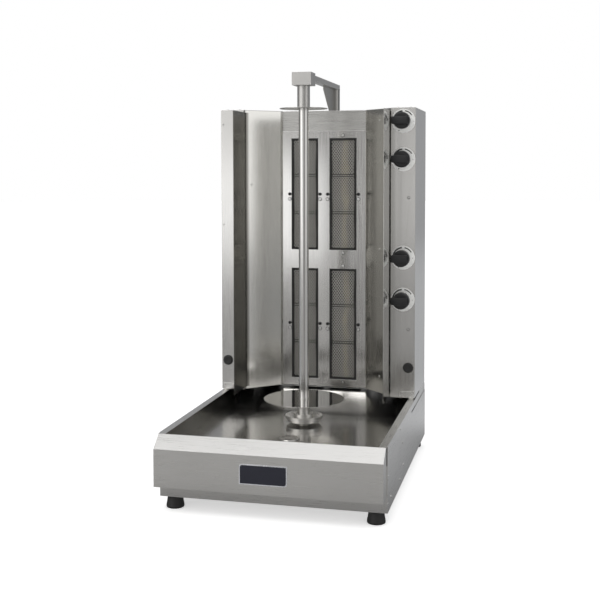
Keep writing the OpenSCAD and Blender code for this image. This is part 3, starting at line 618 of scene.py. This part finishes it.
def knob(number):
    """A round knob with rounded rims, a plain collar and a rounded grip bar to the left."""
    low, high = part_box(f"knob_{number}")
    plate = solids("dial_plates")[number - 1]
    centre = middle(plate)
    radius = high.x - centre.x
    grip_w, grip_h, disc_t = 27 * MM, 10 * MM, 25 * MM
    face = low.y + grip_h
    length = high.y - face
    bm = bmesh.new()
    profile = [(0, length), (16 * MM, length), (17 * MM, length - MM), (17 * MM, disc_t + 2 * MM)]
    profile += [(radius - 3 * MM, disc_t), (radius - 0.8 * MM, disc_t - MM), (radius, disc_t - 3 * MM)]
    profile += [(radius - 0.5 * MM, 4 * MM)]
    profile += [(radius - 4 * MM + 4 * MM * math.cos(t) - 0.5 * MM, 4 * MM - 4 * MM * math.sin(t))
                for t in (math.radians(a) for a in (22, 45, 68, 90))]
    profile += [(radius * 0.6, 0.6 * MM), (0, 0.8 * MM)]
    add_lathe(bm, profile, Vector((centre.x, face, centre.z)), BACK, 64)
    outline = []
    tip = centre.x - low.x
    half = grip_w / 2
    nose, soft = 12 * MM, 2 * MM
    outline += [(centre.x - radius * 0.75, centre.z + half), (centre.x - tip + soft, centre.z + nose),
                (centre.x - tip, centre.z + nose - soft), (centre.x - tip, centre.z - nose + soft),
                (centre.x - tip + soft, centre.z - nose), (centre.x - radius * 0.75, centre.z - half)]
    right = centre.x + radius - 6 * MM
    outline += [(right - 2 * MM, centre.z - half), (right, centre.z - half + 3 * MM),
                (right, centre.z + half - 3 * MM), (right - 2 * MM, centre.z + half)]
    grip = bmesh.new()
    add_plate(grip, outline, face + disc_t - 4 * MM, face - grip_h)
    rim = [e for e in grip.edges if all(abs(v.co.y - (face - grip_h)) < 1e-6 for v in e.verts)]
    bmesh.ops.bevel(grip, geom=rim, offset=2.2 * MM, segments=3, affect="EDGES", profile=0.5)
    held = bpy.data.meshes.new("grip")
    grip.to_mesh(held)
    grip.free()
    bm.from_mesh(held)
    bpy.data.meshes.remove(held)
    finish_piece(f"control_knob_{number}", bm, "knob", f"dial_{number}", [f"knob_{number}"])


def dials():
    """Dial plates with a rolled rim and generic heat marks."""
    plates = bmesh.new()
    ink = bmesh.new()
    for box in solids("dial_plates"):
        centre = middle(box)
        radius = (box[1].x - box[0].x) / 2
        thick = box[1].y - box[0].y
        back = Vector((centre.x, box[1].y, centre.z))
        bore = 7 * MM
        add_lathe(plates, [(bore, 0), (radius - 0.5 * MM, 0), (radius, 0.6 * MM), (radius, thick - MM),
                           (radius - MM, thick), (radius - 2.5 * MM, thick),
                           (radius - 3.2 * MM, thick - 0.5 * MM), (bore, thick - 0.5 * MM), (bore, 0)],
                  back, FRONT, 72)
        y_face = box[0].y + 0.5 * MM
        marks = [(32, 36.5, 95, 178), (33, 36.5, 33, 80), (34, 38, 243, 248), (33, 35, 356, 360)]
        for inner, outer, start, end in marks:
            outline = arc_outline(centre, inner * MM, outer * MM, start, end)
            add_plate(ink, outline, y_face, y_face - 0.25 * MM)
    finish_piece("dial_faces", plates, "dial", "tower", ["dial_plates"])
    finish_piece("dial_marks", ink, "ink", "tower", smooth=False)


for number in range(1, 5):
    knob(number)
dials()


# ---------------------------------------------------------------- small parts

def feet():
    """Ribbed rubber feet with a moulded skirt."""
    bm = bmesh.new()
    for low, high in solids("rubber_feet"):
        centre = middle((low, high))
        r = (high.x - low.x) / 2
        h = high.z - low.z
        profile = [(0, 0.4 * MM), (r - 8 * MM, 0.4 * MM), (r - 7 * MM, 0), (r - 2 * MM, 0),
                   (r - 0.5 * MM, 1 * MM), (r, 2.5 * MM), (r, 8 * MM), (r - 0.6 * MM, 9 * MM),
                   (r - 0.6 * MM, 13 * MM), (r - 1.6 * MM, 15 * MM), (r - 4 * MM, h - 7 * MM),
                   (r - 4.4 * MM, h - 5 * MM), (r - 6 * MM, h - 4 * MM),
                   (r - 6.2 * MM, h - 0.8 * MM), (r - 7 * MM, h - 0.1 * MM), (5.2 * MM, h - 0.1 * MM),
                   (5.2 * MM, h - 12 * MM)]
        add_lathe(bm, profile, Vector((centre.x, centre.y, low.z)), UP, 56)
    finish_piece("foot_pads", bm, "rubber", "base", ["rubber_feet"])


def plugs():
    """Domed plugs with a thin lip in the box fronts."""
    bm = bmesh.new()
    for low, high in solids("hole_plugs"):
        centre = middle((low, high))
        r = (high.x - low.x) / 2
        place = Vector((centre.x, low.y + 5 * MM, centre.z))
        add_lathe(bm, [(r - 3 * MM, -5 * MM), (r - 3 * MM, 0), (r, 0), (r, 1.2 * MM), (r - MM, 2 * MM),
                       (r - 2 * MM, 2.2 * MM), (r - 2.5 * MM, 4 * MM), (r - 4 * MM, 4.9 * MM),
                       (r * 0.6, 5 * MM), (r * 0.5, 4.4 * MM), (0, 4.2 * MM)], place, FRONT, 48)
    finish_piece("box_plugs", bm, "rubber", "tower", ["hole_plugs"])


def badge():
    """A blank enamel field inside the badge's bare border."""
    low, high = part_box("badge_plate")
    inset, r = 3 * MM, 7 * MM
    x0, x1, z0, z1 = low.x + inset, high.x - inset, low.z + inset, high.z - inset
    outline = [(x1, z1), (x0 + r, z1)]
    outline += [(x0 + r + r * math.cos(t), z1 - r + r * math.sin(t))
                for t in (math.radians(90 + 15 * i) for i in range(1, 7))]
    outline += [(x0, z0), (x1 - r, z0)]
    outline += [(x1 - r + r * math.cos(t), z0 + r + r * math.sin(t))
                for t in (math.radians(270 + 15 * i) for i in range(1, 7))]
    bm = bmesh.new()
    add_plate(bm, outline, low.y + 0.3 * MM, low.y - 0.4 * MM)
    finish_piece("badge_field", bm, "enamel", "base", smooth=False)


def extra_screws():
    """Small screws on the boxes, the back cover, the top and the apron's ends."""
    bm = bmesh.new()
    base = bmesh.new()
    box_low, box_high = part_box("control_box")
    left_low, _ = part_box("tower_box_left")
    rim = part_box("base_side_right")[1].z
    box_screws = [Vector((box_high.x - 23 * MM, box_low.y, rim + z)) for z in (700 * MM, 244 * MM)]
    for place in box_screws:
        add_screw(bm, place, FRONT, 3 * MM, 1.6 * MM)
    for z in (958 * MM, 600 * MM):
        add_screw(bm, Vector((left_low.x + 8 * MM, box_low.y, rim + z)), FRONT, 3 * MM, 1.6 * MM)
    cover_low, cover_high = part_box("tower_back_cover")
    span = cover_high.z - cover_low.z
    for i in range(6):
        z = cover_low.z + 20 * MM + i * (span - 40 * MM) / 5
        for x in (cover_low.x + 14 * MM, cover_high.x - 14 * MM):
            add_screw(bm, Vector((x, cover_high.y, z)), BACK, 4 * MM)
    for x in (-0.2, -0.07, 0.07, 0.2):
        add_screw(bm, Vector((x, cover_high.y, cover_high.z - 20 * MM)), BACK, 4 * MM)
    cap_low, cap_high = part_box("tower_top_cap")
    for x in (cap_low.x + 20 * MM, cap_low.x + 65 * MM, cap_high.x - 65 * MM, cap_high.x - 20 * MM):
        for y in (cap_low.y + 20 * MM, cap_high.y - 20 * MM):
            add_screw(bm, Vector((x, y, cap_high.z)), UP, 4 * MM)
    side_low, side_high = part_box("base_side_right")
    back_low, back_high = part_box("base_back_panel")
    for i in range(5):
        x = back_low.x + 20 * MM + i * (back_high.x - back_low.x - 40 * MM) / 4
        add_screw(base, Vector((x, back_high.y, back_low.z + 12 * MM)), BACK, 4 * MM)
    for z in (26 * MM, 108 * MM):
        for s in (-1, 1):
            add_lathe(base, [(0, 0), (3 * MM, 0), (2.6 * MM, 0.9 * MM), (1.2 * MM, 1.3 * MM), (0, 1.3 * MM)],
                      Vector((s * side_high.x, side_low.y + 26 * MM, side_low.z + z)), (s, 0, 0), 20)
    # Painted shade: dark rings round the panel screws and the box screws stand for the shade round each screw
    # head.
    rings = bmesh.new()
    for low, high in solids("tower_screws"):
        if abs(high.y - panel_front) < 0.5 * MM:
            seat = middle((low, high))
            seat.y = panel_front
            head = (high.x - low.x) / 2
            add_lathe(rings, [(0, 0), (head + 1.5 * MM, 0), (head + 1.2 * MM, 0.5 * MM), (0, 0.5 * MM)],
                      seat, FRONT, 32)
    for place in box_screws:
        add_lathe(rings, [(0, 0), (5.2 * MM, 0), (5 * MM, 0.5 * MM), (0, 0.5 * MM)], place, FRONT, 32)
    finish_piece("screw_shade_rings", rings, "scorched_and_shade", "tower")
    finish_piece("cover_screws", bm, "bright", "tower")
    finish_piece("panel_rivets", base, "bright", "base")


def drain():
    """A small raised drain strainer in the tray floor, near the front."""
    low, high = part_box("drip_tray")
    floor = low.z + 1.5 * MM
    centre = Vector((0.002, low.y + 232 * MM, floor))
    bm = bmesh.new()
    add_lathe(bm, [(0, 0.1 * MM), (32 * MM, 0.1 * MM), (33 * MM, 0.8 * MM), (32 * MM, 2.2 * MM),
                   (29 * MM, 2.6 * MM), (27 * MM, 1.8 * MM), (20 * MM, 2.4 * MM), (0, 3.4 * MM)],
              centre, UP, 56)
    for ring, count in ((8 * MM, 6), (16 * MM, 12)):
        for i in range(count):
            t = 2 * math.pi * i / count
            add_lathe(bm, [(2.8 * MM, 0), (2.8 * MM, 1.3 * MM), (2.1 * MM, 1.3 * MM), (2.1 * MM, 0.2 * MM)],
                      centre + Vector((ring * math.cos(t), ring * math.sin(t), 2.2 * MM)), UP, 12)
    finish_piece("tray_strainer", bm, "turned", "base")


def weld_bead(name, points, radius, body):
    """A rippled weld bead along a path."""
    bm = bmesh.new()
    length = sum((Vector(b) - Vector(a)).length for a, b in zip(points, points[1:]))
    count = max(4, int(length / (radius * 1.1)))
    for i in range(count):
        walk = length * (i + 0.5) / count
        for a, b in zip(points, points[1:]):
            a, b = Vector(a), Vector(b)
            if walk <= (b - a).length:
                place = a + (b - a).normalized() * walk
                break
            walk -= (b - a).length
        bmesh.ops.create_icosphere(bm, subdivisions=1, radius=radius, matrix=Matrix.Translation(place))
    finish_piece(name, bm, "post", body)


def arm_details():
    """Weld beads round the post, round the arm's front end and at both ends of the sleeve."""
    arm_low, arm_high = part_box("support_arm")
    post_low, post_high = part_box("support_post")
    post = middle((post_low, post_high))
    r = (post_high.x - post_low.x) / 2
    ring = [(post.x + r * math.cos(math.radians(a)), post.y + r * math.sin(math.radians(a)), arm_low.z)
            for a in range(0, 361, 20)]
    weld_bead("post_weld", ring, 1.4 * MM, "base")
    frame_loop = [(arm_low.x, arm_low.y, arm_low.z), (arm_high.x, arm_low.y, arm_low.z),
                  (arm_high.x, arm_low.y, arm_high.z), (arm_low.x, arm_low.y, arm_high.z),
                  (arm_low.x, arm_low.y, arm_low.z)]
    weld_bead("head_weld", frame_loop, 1.3 * MM, "base")
    sleeve_low, sleeve_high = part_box("head_sleeve")
    rs = (sleeve_high.x - sleeve_low.x) / 2
    for name, z in (("sleeve_weld", sleeve_high.z), ("disc_weld", sleeve_low.z)):
        circle = [(SPIT.x + rs * math.cos(math.radians(a)), SPIT.y + rs * math.sin(math.radians(a)), z)
                  for a in range(0, 361, 20)]
        weld_bead(name, circle, 1.2 * MM, "base")


feet()
plugs()
badge()
extra_screws()
drain()
arm_details()


# ---------------------------------------------------------------- stage

# Brightness of the studio round the object, by azimuth in degrees: 0 is the front, 90 the right side.
STUDIO_ROUND = [(-180, 0.4), (-110, 0.2), (-78, 0.25), (-58, 1.1), (-40, 1.4), (-26, 1.3), (-18, 0.78),
                (-14.5, 0.5), (-12, 0.15), (-9.8, 0.15), (-8.6, 0.5), (-7.2, 0.95), (-4, 0.75), (2, 0.5),
                (14, 0.35), (28, 0.22), (50, 0.45), (62, 1.05), (76, 1.0), (86, 0.3), (150, 0.28), (180, 0.4)]
# Brightness of the floor that shiny parts reflect, by the same azimuth: close to the object, and further out.
FLOOR_NEAR = [(-180, 0.6), (-90, 0.5), (-30, 0.38), (-8, 0.38), (20, 0.36), (90, 0.55), (180, 0.6)]
FLOOR_FAR = [(-180, 0.5), (-90, 0.35), (-26, 0.3), (-18, 0.24), (-13.5, 0.62), (-10.5, 0.08), (-7, 0.35),
             (4, 0.3), (26, 0.2), (60, 0.4), (120, 0.35), (180, 0.5)]
# Brightness overhead, from left to right.
OVERHEAD = [(0.1, 0.36), (0.3, 1.05), (1.0, 1.2)]
STAGE_RADIUS = 30
EYE = Vector((0.790, -3.3066, 1.0335))
COOL = (0.975, 0.99, 1.015)
WARM = (1.01, 1.0, 0.985)


def by_azimuth(tree, xyz, table):
    """A grey that follows the azimuth of a direction through a table of (degrees, brightness)."""
    turn = math_node(tree, "ARCTAN2", xyz.outputs["X"], math_node(tree, "MULTIPLY", xyz.outputs["Y"], -1.0))
    place = math_node(tree, "MULTIPLY_ADD", turn, 0.5 / math.pi, 0.5)
    stops = []
    for degrees, level in table:
        tint = COOL if abs(degrees) > 85 else WARM
        stops.append((degrees / 360 + 0.5, tuple(level * c for c in tint)))
    return ramp(tree, place, stops)


def glowing(name):
    """A material that only shines, its tree and its emission node."""
    material = bpy.data.materials.new(name)
    material.use_nodes = True
    tree = material.node_tree
    tree.nodes.clear()
    glow = tree.nodes.new("ShaderNodeEmission")
    output = tree.nodes.new("ShaderNodeOutputMaterial")
    tree.links.new(glow.outputs[0], output.inputs["Surface"])
    return material, tree, glow


def stage_piece(name, bm, material, camera=True, glossy=True, diffuse=True):
    """A part of the studio, with the kinds of ray that see it."""
    mesh = bpy.data.meshes.new(name)
    bm.to_mesh(mesh)
    bm.free()
    piece = bpy.data.objects.new(name, mesh)
    bpy.context.scene.collection.objects.link(piece)
    mesh.materials.append(material)
    piece.visible_camera = camera
    piece.visible_glossy = glossy
    piece.visible_diffuse = diffuse
    piece.visible_shadow = False


def stage_floor():
    """A wide, pale, matt floor, and below it the greyer floor that shiny parts reflect."""
    bm = bmesh.new()
    bmesh.ops.create_circle(bm, cap_ends=True, segments=96, radius=STAGE_RADIUS)
    material, tree, surface = shader("floor_pale", 0.0, 0.9)
    surface.inputs["Specular IOR Level"].default_value = 0.1
    surface.inputs["Emission Color"].default_value = (1, 1, 1, 1)
    surface.inputs["Emission Strength"].default_value = 0.5
    tone = stretched_noise(tree, (1, 1, 1), 1.5, 3.0)
    tree.links.new(ramp(tree, tone, shades((0.9, 0.9, 0.9), 0.99, 1.01)), surface.inputs["Base Color"])
    stage_piece("floor", bm, material, glossy=False)

    bm = bmesh.new()
    bmesh.ops.create_circle(bm, cap_ends=True, segments=96, radius=STAGE_RADIUS)
    for vert in bm.verts:
        vert.co.z = -0.002
    material, tree, glow = glowing("floor_reflected")
    coords = tree.nodes.new("ShaderNodeTexCoord")
    xyz = tree.nodes.new("ShaderNodeSeparateXYZ")
    length = tree.nodes.new("ShaderNodeVectorMath")
    length.operation = "LENGTH"
    tree.links.new(coords.outputs["Object"], xyz.inputs[0])
    tree.links.new(coords.outputs["Object"], length.inputs[0])
    near = by_azimuth(tree, xyz, FLOOR_NEAR)
    far = by_azimuth(tree, xyz, FLOOR_FAR)
    horizon = by_azimuth(tree, xyz, STUDIO_ROUND)
    floor = blend_colours(tree, smooth_step(tree, length.outputs["Value"], 0.9, 2.0), near, far)
    away = smooth_step(tree, length.outputs["Value"], 6.0, 14.0)
    # Painted contact shadow: the reflected floor dims to 0.45 at the object's footprint and clears 0.4 m away
    # from it.
    outside = []
    for axis, half in (("X", 0.36), ("Y", 0.5)):
        size = math_node(tree, "ABSOLUTE", xyz.outputs[axis])
        outside.append(math_node(tree, "MAXIMUM", math_node(tree, "SUBTRACT", size, half), 0.0))
    gap = math_node(tree, "SQRT", math_node(tree, "ADD", math_node(tree, "POWER", outside[0], 2.0),
                                            math_node(tree, "POWER", outside[1], 2.0)))
    tree.links.new(smooth_step(tree, gap, 0.0, 0.4, 0.45, 1.0), glow.inputs["Strength"])
    tree.links.new(blend_colours(tree, away, floor, horizon), glow.inputs["Color"])
    stage_piece("floor_reflected", bm, material, camera=False, diffuse=False)


def soft_card():
    """A low, soft-edged white card at the front left, which only shiny parts reflect."""
    low, high, fade = Vector((-3.2, -5.8, 0.0)), Vector((-1.18, -5.8, 1.28)), 0.24
    bm = bmesh.new()
    bm.faces.new([bm.verts.new(v) for v in ((low.x, low.y, low.z), (high.x, low.y, low.z),
                                            (high.x, low.y, high.z), (low.x, low.y, high.z))])
    material, tree, glow = glowing("soft_card")
    coords = tree.nodes.new("ShaderNodeTexCoord")
    xyz = tree.nodes.new("ShaderNodeSeparateXYZ")
    tree.links.new(coords.outputs["Object"], xyz.inputs[0])
    cover = 1.0
    for axis, start, end in (("X", low.x, high.x), ("Z", low.z, high.z)):
        cover = math_node(tree, "MULTIPLY", cover, smooth_step(tree, xyz.outputs[axis], start, start + fade))
        cover = math_node(tree, "MULTIPLY", cover, smooth_step(tree, xyz.outputs[axis], end, end - fade))
    clear = tree.nodes.new("ShaderNodeBsdfTransparent")
    mix = tree.nodes.new("ShaderNodeMixShader")
    tree.links.new(cover, mix.inputs["Fac"])
    tree.links.new(clear.outputs[0], mix.inputs[1])
    tree.links.new(glow.outputs[0], mix.inputs[2])
    glow.inputs["Strength"].default_value = 1.4
    tree.links.new(mix.outputs[0], tree.nodes["Material Output"].inputs["Surface"])
    stage_piece("soft_card", bm, material, camera=False, diffuse=False)


def backdrop():
    """A white surround that only the camera sees."""
    bm = bmesh.new()
    bmesh.ops.create_uvsphere(bm, u_segments=48, v_segments=24, radius=STAGE_RADIUS)
    material, tree, glow = glowing("backdrop_white")
    stage_piece("backdrop", bm, material, glossy=False, diffuse=False)


def area_light(name, place, target, size, power):
    """A soft rectangular light that looks at a target."""
    light = bpy.data.lights.new(name, "AREA")
    light.shape = "RECTANGLE"
    light.size, light.size_y = size
    light.energy = power
    lamp = bpy.data.objects.new(name, light)
    lamp.location = place
    lamp.rotation_euler = (Vector(target) - Vector(place)).to_track_quat("-Z", "Y").to_euler()
    bpy.context.scene.collection.objects.link(lamp)
    return lamp


def studio():
    """Soft light from all round, brighter overhead and to the front left."""
    world = bpy.data.worlds.new("studio")
    bpy.context.scene.world = world
    world.use_nodes = True
    tree = world.node_tree
    coords = tree.nodes.new("ShaderNodeTexCoord")
    xyz = tree.nodes.new("ShaderNodeSeparateXYZ")
    tree.links.new(coords.outputs["Generated"], xyz.inputs[0])
    around = by_azimuth(tree, xyz, STUDIO_ROUND)
    across = math_node(tree, "ADD", xyz.outputs["X"], 0.5)
    top = ramp(tree, across, [(place, (level,) * 3) for place, level in OVERHEAD])
    upwards = smooth_step(tree, xyz.outputs["Z"], math.sin(math.radians(30)), math.sin(math.radians(60)))
    tree.links.new(blend_colours(tree, upwards, around, top), tree.nodes["Background"].inputs["Color"])
    tree.nodes["Background"].inputs["Strength"].default_value = 1.0
    area_light("key", (-1.4, -2.4, 3.4), (0, 0, 0.6), (2.4, 1.6), 40)
    fill = area_light("fill", (2.4, -3.4, 2.0), (0, 0, 0.6), (1.6, 1.6), 14)
    fill.visible_glossy = False


def camera():
    """Stands in front and to the right, looking slightly down, with the frame shifted down and left."""
    data = bpy.data.cameras.new("camera")
    data.sensor_width = 36
    data.lens = 60.876
    data.shift_x = -0.005
    data.shift_y = -0.1345
    eye = bpy.data.objects.new("camera", data)
    yaw, pitch, roll = math.radians(13.56), math.radians(2.82), math.radians(-0.06)
    look = Vector((-math.sin(yaw) * math.cos(pitch), math.cos(yaw) * math.cos(pitch), -math.sin(pitch)))
    turn = look.to_track_quat("-Z", "Y").to_matrix().to_4x4() @ Matrix.Rotation(roll, 4, "Z")
    eye.matrix_world = Matrix.Translation(EYE) @ turn
    bpy.context.scene.collection.objects.link(eye)
    bpy.context.scene.camera = eye


stage_floor()
soft_card()
backdrop()
studio()
camera()
bpy.context.scene.view_settings.view_transform = "Standard"
